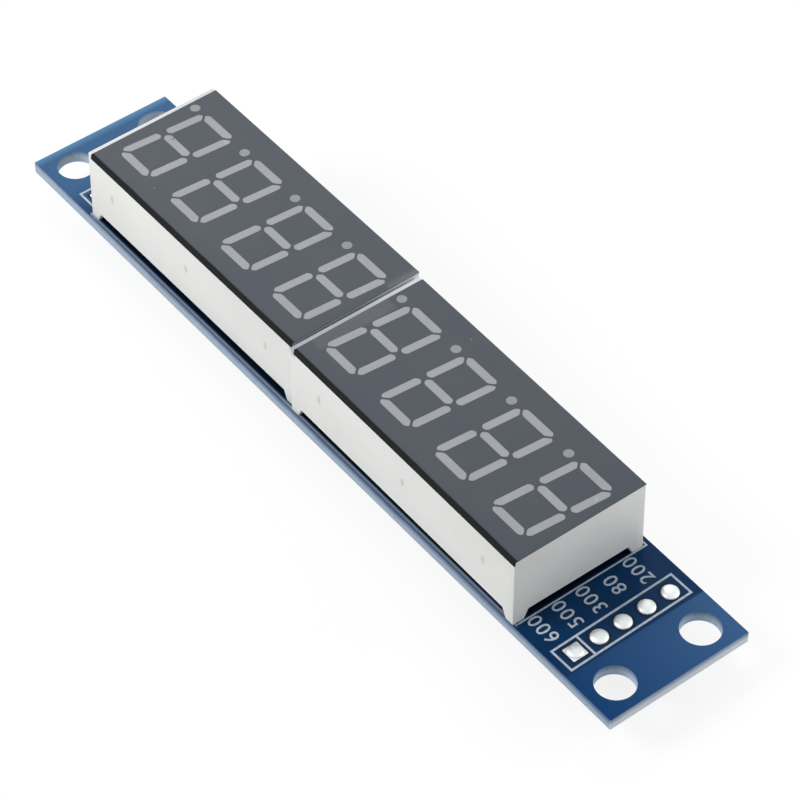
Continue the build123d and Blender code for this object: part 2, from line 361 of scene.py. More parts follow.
def makeSilk():
    paint = Paint("silkInk")
    patchy = paint.noise(silkPaint["wearGrain"], 4, 0.7)
    ink = paint.mix(paint.ramp(patchy, *silkPaint["wearRange"]), silkPaint["dark"], silkPaint["pale"])
    # the ink is dimmer along the +Y edge beside the blocks
    dimInk = paint.ramp(paint.axis("Y"), *silkPaint["dimInkFrom"])
    paint.colour(paint.mix(dimInk, ink, silkPaint["dimInk"]))
    paint.fixed(Roughness=silkPaint["rough"], Specular_IOR_Level=silkPaint["gloss"])
    paint.bump(patchy, 0.25, silkPaint["depth"])
    return paint.material


metals = {
    # dark and bright colour, roughness, grain, and the strength and depth of the bump
    "tinnedPad": ((0.71, 0.74, 0.75), (0.77, 0.80, 0.81), 0.45, 1100, 0.12, 0.03 * mm),
    "pinMetal": ((0.55, 0.55, 0.53), (0.72, 0.72, 0.70), 0.32, 1600, 0.3, 0.01 * mm),
    "solder": ((0.62, 0.63, 0.64), (0.78, 0.79, 0.80), 0.24, 900, 0.3, 0.04 * mm),
}


def makeMetal(name):
    dark, bright, rough, grain, strength, depth = metals[name]
    paint = Paint(name)
    cloud = paint.noise(grain, 4, 0.6)
    paint.colour(paint.clouded(cloud, dark, bright))
    paint.uneven(paint.noise(grain * 3, 3), rough, 0.07, 0.1)
    paint.fixed(Metallic=1.0)
    paint.bump(cloud, strength, depth)
    return paint.material


mouldingPaint = {
    "whiteMoulding": ((0.78, 0.79, 0.76), (0.83, 0.83, 0.81)),
    "gateMark": ((0.66, 0.66, 0.64), (0.72, 0.72, 0.70)),
    "cloudGrain": 140,
    "polishGrain": 900,
    "polish": (0.34, 0.46),
    "waveGrain": 420,
    "waveDepth": 0.05 * mm,
    "gloss": 0.35,
    "glow": 0.10,
    "glowReach": (0.8, 0.7, 0.6),
    "glowScale": 0.6 * mm,
}


# painted shade in the joint between the blocks
jointShadePaint = {
    "dark": (0.43, 0.45, 0.48),
    "pale": (0.80, 0.82, 0.85),
    "from": (0.95 * mm, -7.5 * mm),
    "to": (2.2 * mm, 7.5 * mm),
    "soft": 0.05 * mm,
    "paleAt": -6.5 * mm,
    "depth": (1.2 * mm, 0.4 * mm),  # below the face, where the grey starts and is full
}


def makeMoulding(name):
    # painted shade: the moulding is greyer in the narrow joint between the blocks
    paint = Paint(name)
    wall = paint.clouded(paint.noise(mouldingPaint["cloudGrain"], 4, 0.55), *mouldingPaint[name])
    towardsPale = paint.ramp(paint.axis("Y"), 0, jointShadePaint["paleAt"])
    strip = paint.mix(towardsPale, jointShadePaint["dark"], jointShadePaint["pale"])
    jointShade = paint.patch(jointShadePaint["from"], jointShadePaint["to"], jointShadePaint["soft"])
    low, full = jointShadePaint["depth"]
    high = paint.ramp(paint.axis("Z"), housingTop - low, housingTop - full)
    paint.colour(paint.mix(paint.maths("MULTIPLY", jointShade, high), wall, strip))
    smooth, dull = mouldingPaint["polish"]
    paint.roughness(paint.ramp(paint.noise(mouldingPaint["polishGrain"], 3), lowOut=smooth, highOut=dull))
    paint.fixed(Specular_IOR_Level=mouldingPaint["gloss"], Subsurface_Weight=mouldingPaint["glow"])
    paint.fixed(Subsurface_Radius=mouldingPaint["glowReach"], Subsurface_Scale=mouldingPaint["glowScale"])
    paint.bump(paint.noise(mouldingPaint["waveGrain"], 3), 0.10, mouldingPaint["waveDepth"])
    return paint.material


filmPaint = {
    "face": (0.074, 0.088, 0.108),
    "faceWarm": (0.082, 0.095, 0.112),
    "rim": (0.006, 0.007, 0.008),
    "rimRough": 0.75,
    "rimWidth": 0.25 * mm,
    "rimSoftness": 0.14 * mm,
    "rimWave": 0.06 * mm,
    "rimGrain": 260,
    "cloudGrain": 120,
    "speck": (0.26, 0.28, 0.30),
    "specks": {"left": (-7.21 * mm, -5.43 * mm), "right": (24.48 * mm, 5.05 * mm)},
    "speckReach": 0.05 * mm,
    "jointReflection": (0.165, 0.178, 0.200),  # painted reflection: lighter zones beside the joint, where the white moulding reflects in the film
    "jointReflections": {
        "left": ((-0.15 * mm, -2.6 * mm), (0.9 * mm, 5.2 * mm), 0.35 * mm, 0.60),
        "right": ((1.5 * mm, -6.9 * mm), (2.1 * mm, -4.0 * mm), 0.6 * mm, 1.0),
    },
    "jointReflectionGrain": 260,
    "jointReflectionStretch": (3, 1, 1),
    "rough": 0.32,
    "roughGrain": 500,
    "gloss": 0.16,
    "waveGrain": 300,
    "waveDepth": 0.03 * mm,
}


def makeFilm(side):
    # the printed face fades to black along its +Y edge
    paint = Paint(side + "DarkFilm")
    matrix = blockMatrix(side)
    low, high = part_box(side + "_face_film")
    slope = math.tan(blockTurn[side])
    half = (high.y - low.y) / 2 - abs(slope) * (high.x - low.x) / 2
    edge = matrix.translation.y + half - slope * matrix.translation.x
    across = paint.maths("SUBTRACT", paint.axis("Y"), paint.maths("MULTIPLY", paint.axis("X"), slope))
    wave = filmPaint["rimWave"]
    wavy = paint.ramp(paint.noise(filmPaint["rimGrain"], 2), 0, 1, -wave, wave)
    wavy = paint.maths("ADD", across, wavy)
    start = edge - filmPaint["rimWidth"]
    rim = paint.ramp(wavy, start - filmPaint["rimSoftness"], start)
    cloud = paint.ramp(paint.noise(filmPaint["cloudGrain"], 3, 0.6), 0.35, 0.65)
    face = paint.mix(cloud, filmPaint["face"], filmPaint["faceWarm"])
    # painted reflection beside the joint, broken up by a grain
    low, high, soft, amount = filmPaint["jointReflections"][side]
    grain = paint.noise(filmPaint["jointReflectionGrain"], 4, 0.6, filmPaint["jointReflectionStretch"])
    patchy = paint.ramp(grain, 0.25, 0.7, 0.3 * amount, amount)
    face = paint.mix(paint.maths("MULTIPLY", paint.patch(low, high, soft), patchy), face, filmPaint["jointReflection"])
    reach = filmPaint["speckReach"]
    x, y = filmPaint["specks"][side]
    speck = paint.patch((x - reach, y - reach), (x + reach, y + reach), reach / 2)
    face = paint.mix(speck, face, filmPaint["speck"])
    paint.colour(paint.mix(rim, face, filmPaint["rim"]))
    rough = filmPaint["rough"]
    grain = paint.noise(filmPaint["roughGrain"], 4, 0.7)
    uneven = paint.ramp(grain, lowOut=rough - 0.04, highOut=rough + 0.06)
    paint.roughness(paint.maths("MAXIMUM", uneven, paint.maths("MULTIPLY", rim, filmPaint["rimRough"])))
    paint.fixed(Specular_IOR_Level=filmPaint["gloss"])
    paint.bump(paint.noise(filmPaint["waveGrain"], 2), 0.05, filmPaint["waveDepth"])
    return paint.material


resinPaint = {
    "barResin": ((0.362, 0.374, 0.402), (0.398, 0.408, 0.428)),
    "pointResin": ((0.285, 0.300, 0.325), (0.320, 0.335, 0.355)),
    "cloudGrain": 260,
    "speck": (0.46, 0.47, 0.48),
    "speckGrain": 1400,
    "speckRange": (0.70, 0.76),
    "flaw": (0.20, 0.205, 0.22),  # a dark spot in one bar
    "flawPlace": (28.62 * mm, 0.06 * mm),
    "flawReach": 0.08 * mm,
    "rough": 0.36,
    "gloss": 0.3,
    "waveGrain": 700,
    "waveDepth": 0.02 * mm,
}


def makeResin(name):
    paint = Paint(name)
    milk = paint.clouded(paint.noise(resinPaint["cloudGrain"], 3, 0.6), *resinPaint[name])
    speck = paint.ramp(paint.noise(resinPaint["speckGrain"], 2, 0.4), *resinPaint["speckRange"])
    milk = paint.mix(speck, milk, resinPaint["speck"])
    x, y = resinPaint["flawPlace"]
    reach = resinPaint["flawReach"]
    spot = paint.patch((x - reach, y - reach), (x + reach, y + reach), reach)
    paint.colour(paint.mix(spot, milk, resinPaint["flaw"]))
    paint.fixed(Roughness=resinPaint["rough"], Specular_IOR_Level=resinPaint["gloss"])
    paint.bump(paint.noise(resinPaint["waveGrain"], 2), 0.05, resinPaint["waveDepth"])
    return paint.material


plainFinishes = {
    # dark and light colour, roughness, grain, and the strength and depth of the bump
    "carrierBoard": ((0.060, 0.150, 0.060), (0.085, 0.200, 0.080), 0.45, 900, 0.1, 0.01 * mm),
    "ledDie": ((0.16, 0.15, 0.10), (0.24, 0.22, 0.15), 0.30, 6000, 0.1, 0.005 * mm),
    "pottingResin": ((0.52, 0.51, 0.44), (0.66, 0.65, 0.58), 0.28, 420, 0.2, 0.05 * mm),
    "chipMoulding": ((0.012, 0.012, 0.014), (0.028, 0.028, 0.030), 0.55, 4200, 0.5, 0.012 * mm),
    "resistorGlaze": ((0.012, 0.012, 0.014), (0.024, 0.024, 0.026), 0.28, 1500, 0.1, 0.006 * mm),
    "resistorCeramic": ((0.70, 0.70, 0.68), (0.80, 0.80, 0.78), 0.5, 1500, 0.1, 0.006 * mm),
    "capacitorCeramic": ((0.24, 0.15, 0.075), (0.31, 0.20, 0.11), 0.42, 2600, 0.2, 0.006 * mm),
}


def makePlain(name):
    dark, light, rough, grain, strength, depth = plainFinishes[name]
    paint = Paint(name)
    cloud = paint.noise(grain, 5, 0.65)
    paint.colour(paint.clouded(cloud, dark, light))
    paint.uneven(paint.noise(grain * 2, 3), rough, 0.05, 0.06)
    paint.bump(cloud, strength, depth)
    return paint.material


boardMask = makeMask()
traceMask = makeTrace()
laminate = makeLaminate()
silkInk = makeSilk()
tinned = makeMetal("tinnedPad")
pinMetal = makeMetal("pinMetal")
solderMetal = makeMetal("solder")
moulding = makeMoulding("whiteMoulding")
gateGrey = makeMoulding("gateMark")
resin = makeResin("barResin")
pointResin = makeResin("pointResin")
carrierGreen = makePlain("carrierBoard")
ledDie = makePlain("ledDie")
potting = makePlain("pottingResin")
chipBlack = makePlain("chipMoulding")
glaze = makePlain("resistorGlaze")
ceramicWhite = makePlain("resistorCeramic")
capacitorTan = makePlain("capacitorCeramic")
print("finishes made")


# mesh helpers

def meshOf(name):
    # a merged copy of a CAD node's mesh with its flat faces whole again
    bm = bmesh.new()
    bm.from_mesh(nodes[name].data)
    bmesh.ops.remove_doubles(bm, verts=bm.verts, dist=2 * merge)
    bmesh.ops.dissolve_limit(bm, angle_limit=flatWithin, verts=bm.verts, edges=bm.edges)
    return bm


def islandsOf(bm):
    # the separate pieces of a mesh, each as a list of its vertices, in the mesh's own order
    seen = set()
    found = []
    for first in bm.verts:
        if first in seen:
            continue
        seen.add(first)
        stack = [first]
        island = []
        while stack:
            vert = stack.pop()
            island.append(vert)
            others = [edge.other_vert(vert) for edge in vert.link_edges]
            fresh = [other for other in others if other not in seen]
            seen.update(fresh)
            stack.extend(fresh)
        found.append(island)
    return found


def centreOf(verts):
    low = Vector([min(v.co[i] for v in verts) for i in range(3)])
    high = Vector([max(v.co[i] for v in verts) for i in range(3)])
    return (low + high) / 2


def bevelEdges(bm, edges, offset, segments):
    bmesh.ops.bevel(
        bm, geom=edges, offset=offset, offset_type="OFFSET", affect="EDGES",
        segments=segments, profile=0.5, material=-1, clamp_overlap=True,
    )


def sharpEdges(bm, degrees=30):
    limit = math.radians(degrees)
    return [e for e in bm.edges if len(e.link_faces) == 2 and e.calc_face_angle(0) > limit]


def newObject(name, data):
    made = bpy.data.objects.new(name, data)
    scene.collection.objects.link(made)
    return made


def meshFrom(bm, name, material):
    # turns a mesh under construction into a finished one
    mesh = bpy.data.meshes.new(name)
    bm.to_mesh(mesh)
    bm.free()
    mesh.materials.append(material)
    return mesh


def finishPiece(bm, name, material, replaced=(), sharp=32):
    # makes the piece's object, at the origin, and hands it to the frame
    # edges sharper than the given angle in degrees stay sharp, the rest is shaded smooth
    bmesh.ops.remove_doubles(bm, verts=bm.verts, dist=merge)
    bmesh.ops.recalc_face_normals(bm, faces=bm.faces)
    mesh = meshFrom(bm, name, material)
    mesh.polygons.foreach_set("use_smooth", [True] * len(mesh.polygons))
    mesh.set_sharp_from_angle(angle=math.radians(sharp))
    piece = newObject(name, mesh)
    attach(piece, "root")
    if replaced:
        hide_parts(*replaced)
    return piece


def softCopy(node, name, material, offset, segments=2):
    # a CAD node with its sharp edges rounded
    bm = meshOf(node)
    bevelEdges(bm, sharpEdges(bm), offset, segments)
    return finishPiece(bm, name, material, [node])


def secondFinish(piece, material, wanted):
    # gives another finish to the faces that pass a test
    piece.data.materials.append(material)
    for polygon in piece.data.polygons:
        if wanted(polygon):
            polygon.material_index = 1


def dress(node, material):
    # keeps a CAD node and gives it its finish
    mesh = nodes[node].data
    mesh.materials.clear()
    mesh.materials.append(material)


def uprightEdges(edges, length):
    # those edges whose ends differ in height by more than the given length
    return [e for e in edges if abs(e.verts[0].co.z - e.verts[1].co.z) > length]


def addBox(bm, low, high, offset=0.0, segments=2, corner=0.0):
    # a box between two corners, with its upright corners and then all its edges rounded
    low, high = Vector(low), Vector(high)
    matrix = Matrix.Translation((low + high) / 2) @ Matrix.Diagonal((*(high - low), 1))
    box = bmesh.new()
    bmesh.ops.create_cube(box, size=1, matrix=matrix)
    if corner:
        bevelEdges(box, uprightEdges(box.edges, (high.z - low.z) / 2), corner, 5)
    if offset:
        bevelEdges(box, sharpEdges(box, 60), offset, segments)
    addMesh(bm, box)


def addMesh(bm, part):
    # moves one mesh under construction into another
    scratch = bpy.data.meshes.new("scratch")
    part.to_mesh(scratch)
    part.free()
    bm.from_mesh(scratch)
    bpy.data.meshes.remove(scratch)


def addTurned(bm, profile, centre, steps):
    # spins a half section of (radius, height) pairs round an upright line through centre
    verts = [bm.verts.new((centre[0] + radius, centre[1], height)) for radius, height in profile]
    edges = [bm.edges.new(pair) for pair in zip(verts, verts[1:])]
    bmesh.ops.spin(
        bm, geom=verts + edges, cent=(centre[0], centre[1], 0), axis=(0, 0, 1),
        angle=2 * math.pi, steps=steps, use_merge=True, use_duplicate=False,
    )
    bmesh.ops.remove_doubles(bm, verts=bm.verts, dist=merge)


def addDisc(bm, centre, radius, level, rise, steps):
    profile = [(0, level), (radius, level), (radius, level + rise), (0, level + rise)]
    addTurned(bm, profile, centre, steps)


def moveCorners(bm, geom, offset):
    verts = [v for v in geom if isinstance(v, bmesh.types.BMVert)]
    bmesh.ops.translate(bm, verts=verts, vec=offset)


def raiseFaces(bm, faces, offset):
    # extrudes faces by an offset
    moveCorners(bm, bmesh.ops.extrude_face_region(bm, geom=faces)["geom"], offset)


def addFrame(bm, low, high, level, line, rise):
    # a printed rectangle: a face, its border inset, the middle taken out, the rest raised
    corners = [(low[0], low[1]), (high[0], low[1]), (high[0], high[1]), (low[0], high[1])]
    face = bm.faces.new([bm.verts.new((x, y, level)) for x, y in corners])
    face.normal_update()
    inset = bmesh.ops.inset_region(bm, faces=[face], thickness=line, use_even_offset=True, use_boundary=True)
    bmesh.ops.delete(bm, geom=[face], context="FACES_ONLY")
    raiseFaces(bm, inset["faces"], (0, 0, rise))


def addFlat(bm, low, high, level, rise):
    addBox(bm, (low[0], low[1], min(level, level + rise)), (high[0], high[1], max(level, level + rise)))


def joinObject(bm, data, matrix):
    # adds a curve's or a text's mesh to bm and removes the curve
    holder = bpy.data.objects.new("holder", data)
    mesh = bpy.data.meshes.new_from_object(holder)
    mesh.transform(matrix)
    bm.from_mesh(mesh)
    bpy.data.objects.remove(holder)
    bpy.data.curves.remove(data)
    bpy.data.meshes.remove(mesh)


def addRibbon(bm, points, width, level, rise):
    # a flattened line along points, for tracks under the mask and strokes of ink
    curve = bpy.data.curves.new("ribbon", "CURVE")
    curve.dimensions = "3D"
    curve.bevel_depth = 0.5
    curve.bevel_resolution = 2
    curve.use_fill_caps = True
    spline = curve.splines.new("POLY")
    spline.points.add(len(points) - 1)
    for point, (x, y) in zip(spline.points, points):
        point.co = (x / width, y / width, 0, 1)
    matrix = Matrix.Translation((0, 0, level)) @ Matrix.Diagonal((width, width, 2 * abs(rise), 1))
    joinObject(bm, curve, matrix)


def addText(bm, words, place, height, level, rise, flip=False):
    # plain numbers, made a mesh and then laid on the board
    curve = bpy.data.curves.new("number", "FONT")
    curve.body = words
    curve.size = 1.0
    curve.offset = printShape["labelWeight"]
    curve.space_character = printShape["labelSpacing"]
    curve.extrude = 0.5
    curve.resolution_u = 3
    curve.align_x = "CENTER"
    curve.align_y = "CENTER"
    scale = height / printShape["figureShare"]
    turn = Matrix.Rotation(math.pi, 4, "X") if flip else Matrix.Identity(4)
    size = Matrix.Diagonal((scale, scale, abs(rise), 1))
    matrix = Matrix.Translation((*place, level + rise / 2)) @ turn @ size
    joinObject(bm, curve, matrix)


# display blocks

housingShape = {
    "edgeRound": 0.12 * mm,
    "segments": 3,
    "outerBand": 0.16 * mm,  # how near the outline an edge must lie to be rounded
    "draft": math.radians(0.6),
}

gateShape = {
    "left": (-11.06 * mm, -0.38 * mm, 11.17 * mm),
    "right": (-11.2 * mm, 0.44 * mm, 11.66 * mm),
    "height": 4.5 * mm,
    "footHeight": 1.0 * mm,
    "radius": 0.24 * mm,
    "stretch": 2.0,
    "rise": 0.015 * mm,
    "wander": 0.2,  # in mm, up or down
}


def ownSpots(side, node):
    # the corners of a block's CAD node in the block's own frame
    inverse = blockMatrix(side).inverted()
    return [inverse @ v.co for v in nodes[side + node].data.vertices]


def outlineOf(side):
    # half length and half width of a block's foot, in its own frame
    spots = ownSpots(side, "_display_housing")
    return max(p.x for p in spots), max(p.y for p in spots)


def makeHousing(side):
    halfLength, halfWidth = outlineOf(side)
    bm = meshOf(side + "_display_housing")
    placed(bm, blockMatrix(side).inverted())
    band = housingShape["outerBand"]
    edges = [
        e for e in sharpEdges(bm)
        if all(abs(v.co.x) > halfLength - band or abs(v.co.y) > halfWidth - band for v in e.verts)
    ]
    bevelEdges(bm, edges, housingShape["edgeRound"], housingShape["segments"])
    placed(bm, blockMatrix(side))
    finishPiece(bm, side + "Housing", moulding, [side + "_display_housing"], 40)


def makeGateMarks(side):
    # three faint mould marks along the +Y wall
    halfLength, halfWidth = outlineOf(side)
    height = gateShape["height"]
    wall = halfWidth - (height - gateShape["footHeight"]) * math.tan(housingShape["draft"])
    wander = gateShape["wander"]
    shape = Matrix.Diagonal((1, gateShape["rise"] / gateShape["radius"], gateShape["stretch"], 1))
    bm = bmesh.new()
    for x in gateShape[side]:
        mark = bmesh.new()
        bmesh.ops.create_uvsphere(mark, u_segments=20, v_segments=10, radius=gateShape["radius"])
        placed(mark, Matrix.Translation((x, wall, height + random.uniform(-wander, wander) * mm)) @ shape)
        addMesh(bm, mark)
    placed(bm, blockMatrix(side))
    finishPiece(bm, side + "GateMarks", gateGrey)


barShape = {
    "cornerRound": 0.16 * mm,
    "dotRound": 0.14 * mm,
    "segments": 4,
    "sink": 0.012 * mm,  # the resin's surface lies this far below the film's
    "mostCorners": 8,  # an outline with more corners than this is the decimal point
    "pointReach": 0.75 * mm,
    "depth": 1 * mm,  # a bar's upright edges are longer than this
}

filmShape = {
    "edgeRound": 0.12 * mm,  # clamped to the film's thickness, which is less
    "segments": 4,
}


def topOutlines(number):
    # the outlines of a digit's lit fields, from the top faces of its CAD bars
    bm = meshOf("digit_" + str(number) + "_light_bars")
    level = max(v.co.z for v in bm.verts)
    outlines = []
    for face in bm.faces:
        if face.normal.z > 0.9 and abs(face.calc_center_median().z - level) < near:
            outlines.append([v.co.copy() for v in face.verts])
    bm.free()
    return outlines


def roundedFace(bm, outline, level):
    # a flat face on an outline with its corners rounded
    verts = [bm.verts.new((p.x, p.y, level)) for p in outline]
    bm.faces.new(verts)
    reach = barShape["dotRound"] if len(outline) > barShape["mostCorners"] else barShape["cornerRound"]
    bmesh.ops.bevel(
        bm, geom=verts, offset=reach, offset_type="OFFSET", affect="VERTICES",
        segments=barShape["segments"], profile=0.5, material=-1, clamp_overlap=True,
    )


def fillSheet(bm, plan, level):
    # a flat sheet on a plan of four corners, open at the outlines that bm holds already
    # hands back the edge between the last two corners
    bmesh.ops.delete(bm, geom=list(bm.faces), context="FACES_ONLY")
    corners = [bm.verts.new((x, y, level)) for x, y in plan]
    border = [bm.edges.new(pair) for pair in zip(corners, corners[1:] + corners[:1])]
    edges = sorted(bm.edges, key=lambda edge: tuple(edge.verts[0].co + edge.verts[1].co))
    bmesh.ops.triangle_fill(bm, use_beauty=True, use_dissolve=False, edges=edges)
    return border[2]


def makeFilmPiece(side, material):
    # film with rounded windows, folded down over the +Y edge
    matrix = blockMatrix(side)
    inverse = matrix.inverted()
    spots = ownSpots(side, "_face_film")
    left, right = min(p.x for p in spots), max(p.x for p in spots)
    front, back = min(p.y for p in spots), max(p.y for p in spots)
    fold = max(p.y for p in spots if p.z > filmTop - boardTop - near)
    thickness = filmTop - housingTop
    inner = fold - thickness
    level = housingTop - boardTop
    lip = level - min(p.z for p in spots)

    bm = bmesh.new()
    for number in digitsOf[side]:
        for outline in topOutlines(number):
            roundedFace(bm, [inverse @ p for p in outline], level)
    seam = fillSheet(bm, ((left, front), (right, front), (right, inner), (left, inner)), level)
    moveCorners(bm, bmesh.ops.extrude_edge_only(bm, edges=[seam])["geom"], (0, thickness, 0))
    raiseFaces(bm, list(bm.faces), (0, 0, thickness))
    bmesh.ops.recalc_face_normals(bm, faces=bm.faces)

    # the strip under the fold goes down as the lip, leaning out with the wall
    strip = [f for f in bm.faces if f.normal.z < -0.9 and f.calc_center_median().y > inner]
    raiseFaces(bm, strip, (0, back - fold, -lip))
    bmesh.ops.delete(bm, geom=strip, context="FACES_ONLY")
    bmesh.ops.recalc_face_normals(bm, faces=bm.faces)
    rim = [
        e for e in sharpEdges(bm, 60)
        if all(max(abs(v.co.z - level - thickness), abs(v.co.y - fold)) < near for v in e.verts)
    ]
    bevelEdges(bm, rim, filmShape["edgeRound"], filmShape["segments"])
    placed(bm, matrix)
    finishPiece(bm, side + "Film", material, [side + "_face_film"], 30)


def makeLitBars(number):
    # a digit's bars with round ends, raised to just under the film's surface
    node = "digit_" + str(number) + "_light_bars"
    bm = meshOf(node)
    level = max(v.co.z for v in bm.verts)
    upright = uprightEdges(sharpEdges(bm, 20), barShape["depth"])
    dotIslands = {v for island in islandsOf(bm) for v in island if len(island) > 2 * barShape["mostCorners"]}
    point = centreOf(dotIslands)
    dotEdges = [e for e in upright if e.verts[0] in dotIslands]
    barEdges = [e for e in upright if e.verts[0] not in dotIslands]
    bevelEdges(bm, barEdges, barShape["cornerRound"], barShape["segments"])
    bevelEdges(bm, [e for e in dotEdges if e.is_valid], barShape["dotRound"], barShape["segments"])
    for vert in bm.verts:
        if vert.co.z > level - near:
            vert.co.z = filmTop - barShape["sink"]
    piece = finishPiece(bm, "digit" + str(number) + "Bars", resin, [node], 40)
    secondFinish(piece, pointResin, lambda face: (face.center - point).xy.length < barShape["pointReach"])


backShape = {"pinRound": 0.06 * mm, "pottingRound": 0.08 * mm}

for side in sides:
    makeHousing(side)
    makeGateMarks(side)
    makeFilmPiece(side, makeFilm(side))
    for number in digitsOf[side]:
        makeLitBars(number)
    dress(side + "_carrier_board", carrierGreen)
    dress(side + "_led_chips", ledDie)
    softCopy(side + "_display_pins", side + "Pins", pinMetal, backShape["pinRound"])
    softCopy(side + "_back_potting", side + "Potting", potting, backShape["pottingRound"])
print("display blocks made")

# header pads

padShape = {
    "pitch": 2.54 * mm,
    "count": 5,
    "radius": 0.81 * mm,
    "squareSide": 1.55 * mm,
    "squareCorner": 0.1 * mm,
    "squareDome": 0.74 * mm,
    "flange": 0.05 * mm,
    "flangeRound": 0.02 * mm,
    "domes": (0.33 * mm, 0.32 * mm, 0.30 * mm, 0.33 * mm, 0.31 * mm),
    "domeSteps": 7,
    "shoulder": (0.85, 0.9),  # powers below 1 fill out the dome, across and upwards
    "barrel": 0.46 * mm,
    "underside": (1.6, 1.7),  # the solder's crown below, in flanges, half way in and at the middle
    "ring": 0.2 * mm,  # bare laminate round each pad
    "ringRise": 0.008 * mm,
    "steps": 40,
}


def padPlaces(end):
    low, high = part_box(end + "_header_pads")
    x = (low.x + high.x) / 2
    return [(x, ((padShape["count"] - 1) / 2 - i) * padShape["pitch"]) for i in range(padShape["count"])]


def domeProfile(radius, base, rise):
    # from the top's middle down to the rim, rounder at the shoulder than a sphere's cap
    steps = padShape["domeSteps"]
    wide, tall = padShape["shoulder"]
    angles = [k / steps * math.pi / 2 for k in range(steps + 1)]
    return [(radius * math.sin(a) ** wide, base + rise * max(0, math.cos(a)) ** tall) for a in angles]


def squarePad(bm, place, rise):
    # a flat square land on each side of the board and a dome of solder on the top one
    half = padShape["squareSide"] / 2
    flange = padShape["flange"]
    for base in (boardTop, boardUnder - flange):
        low = (place[0] - half, place[1] - half, base)
        high = (place[0] + half, place[1] + half, base + flange)
        addBox(bm, low, high, padShape["flangeRound"], 2, padShape["squareCorner"])
    profile = domeProfile(padShape["squareDome"], boardTop + flange, rise - flange)
    return profile + [(0, boardTop + flange)]


def roundPad(rise):
    # a dome of solder on top, the filled hole and a low crown below
    radius, barrel, flange = padShape["radius"], padShape["barrel"], padShape["flange"]
    halfWay, middle = padShape["underside"]
    profile = domeProfile(radius, boardTop, rise)
    profile += [(barrel, boardTop), (barrel, boardUnder), (radius, boardUnder)]
    profile += [(radius, boardUnder - flange), (radius / 2, boardUnder - halfWay * flange)]
    return profile + [(0, boardUnder - middle * flange)]


def makePads(end):
    bm = bmesh.new()
    for i, place in enumerate(padPlaces(end)):
        rise = padShape["domes"][i]
        profile = roundPad(rise) if i else squarePad(bm, place, rise)
        addTurned(bm, profile, place, padShape["steps"])
    finishPiece(bm, end + "Pads", tinned, [end + "_header_pads"], 35)


def makePadRings(end):
    bm = bmesh.new()
    for i, (x, y) in enumerate(padPlaces(end)):
        for level, rise in ((boardTop, padShape["ringRise"]), (boardUnder, -padShape["ringRise"])):
            if i == 0:
                half = padShape["squareSide"] / 2 + padShape["ring"]
                addFlat(bm, (x - half, y - half), (x + half, y + half), level, rise)
            else:
                addDisc(bm, (x, y), padShape["radius"] + padShape["ring"], level, rise, padShape["steps"])
    finishPiece(bm, end + "PadRings", laminate)


for end in ends:
    makePads(end)
    makePadRings(end)
print("header pads made")

# printing on the board

printShape = {
    "line": 0.2 * mm,
    "rise": 0.02 * mm,
    "boxHalfWidth": {"input": 1.345 * mm, "output": 1.5 * mm},
    "boxShift": {"input": 0.075 * mm, "output": 0.0},
    "boxTurn": {"input": math.radians(1.0), "output": 0.0},  # the print is slightly out of line
    "boxTop": {"input": 6.65 * mm, "output": 6.5 * mm},
    "boxBottom": -6.52 * mm,
    "divider": 3.95 * mm,
    "labels": ("600", "500", "300", "80", "200"),
    "labelHeight": 1.4 * mm,
    "figureShare": 0.73,  # a figure's height as a share of the font's size
    "labelWeight": 0.004,
    "labelSpacing": 1.12,
    "labelReach": 3.42 * mm,  # from the pads' line to the middle of a label
    "labelShift": 0.45 * mm,
    "blockLine": 0.16 * mm,
    "blockMargin": 0.14 * mm,
    "blockEdge": 6.95 * mm,
    "blockTop": 7.18 * mm,
    "chipGap": 0.35 * mm,
    "dot": 0.3 * mm,
    "dotSteps": 20,
}


def printHeader(bm, end, level, up):
    shape = printShape
    half = shape["boxHalfWidth"][end]
    rise = up * shape["rise"]
    line = shape["line"]
    box = bmesh.new()
    addFrame(box, (-half, shape["boxBottom"]), (half, shape["boxTop"][end]), level, line, rise)
    low = (line - half, shape["divider"] - line / 2)
    high = (half - line, shape["divider"] + line / 2)
    addFlat(box, low, high, level, rise)
    x = padPlaces(end)[0][0] + shape["boxShift"][end]
    placed(box, Matrix.Translation((x, 0, 0)) @ Matrix.Rotation(shape["boxTurn"][end], 4, "Z"))
    addMesh(bm, box)


def printLabels(bm, end, towards, level, up):
    shape = printShape
    for words, (x, y) in zip(shape["labels"], padPlaces(end)):
        place = (x + towards * shape["labelReach"], y + shape["labelShift"])
        addText(bm, words, place, shape["labelHeight"], level, up * shape["rise"], up < 0)


def printBlocks(bm):
    shape = printShape
    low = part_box("left_display_housing")[0]
    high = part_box("right_display_housing")[1]
    margin = shape["blockMargin"]
    left, right = low.x - margin, high.x + margin
    edge = shape["blockEdge"]
    addFrame(bm, (left, -edge), (right, shape["blockTop"]), boardTop, shape["blockLine"], shape["rise"])


bm = bmesh.new()
for end in ends:
    printHeader(bm, end, boardTop, 1)
printLabels(bm, "input", 1, boardTop, 1)
printBlocks(bm)
finishPiece(bm, "topPrint", silkInk, (), 30)
print("top print made")

# underside: solder round the display pins

jointShape = {
    # radius and height in mm, from the pin's side down to the board
    "profile": (
        (0.30, 0.86), (0.35, 0.82), (0.40, 0.62), (0.49, 0.38), (0.64, 0.17), (0.80, 0.05), (0.84, 0.0),
    ),
    "core": 0.27 * mm,
    "uneven": (0.92, 1.06),  # the cones' heights vary by these factors
    "steps": 28,
}


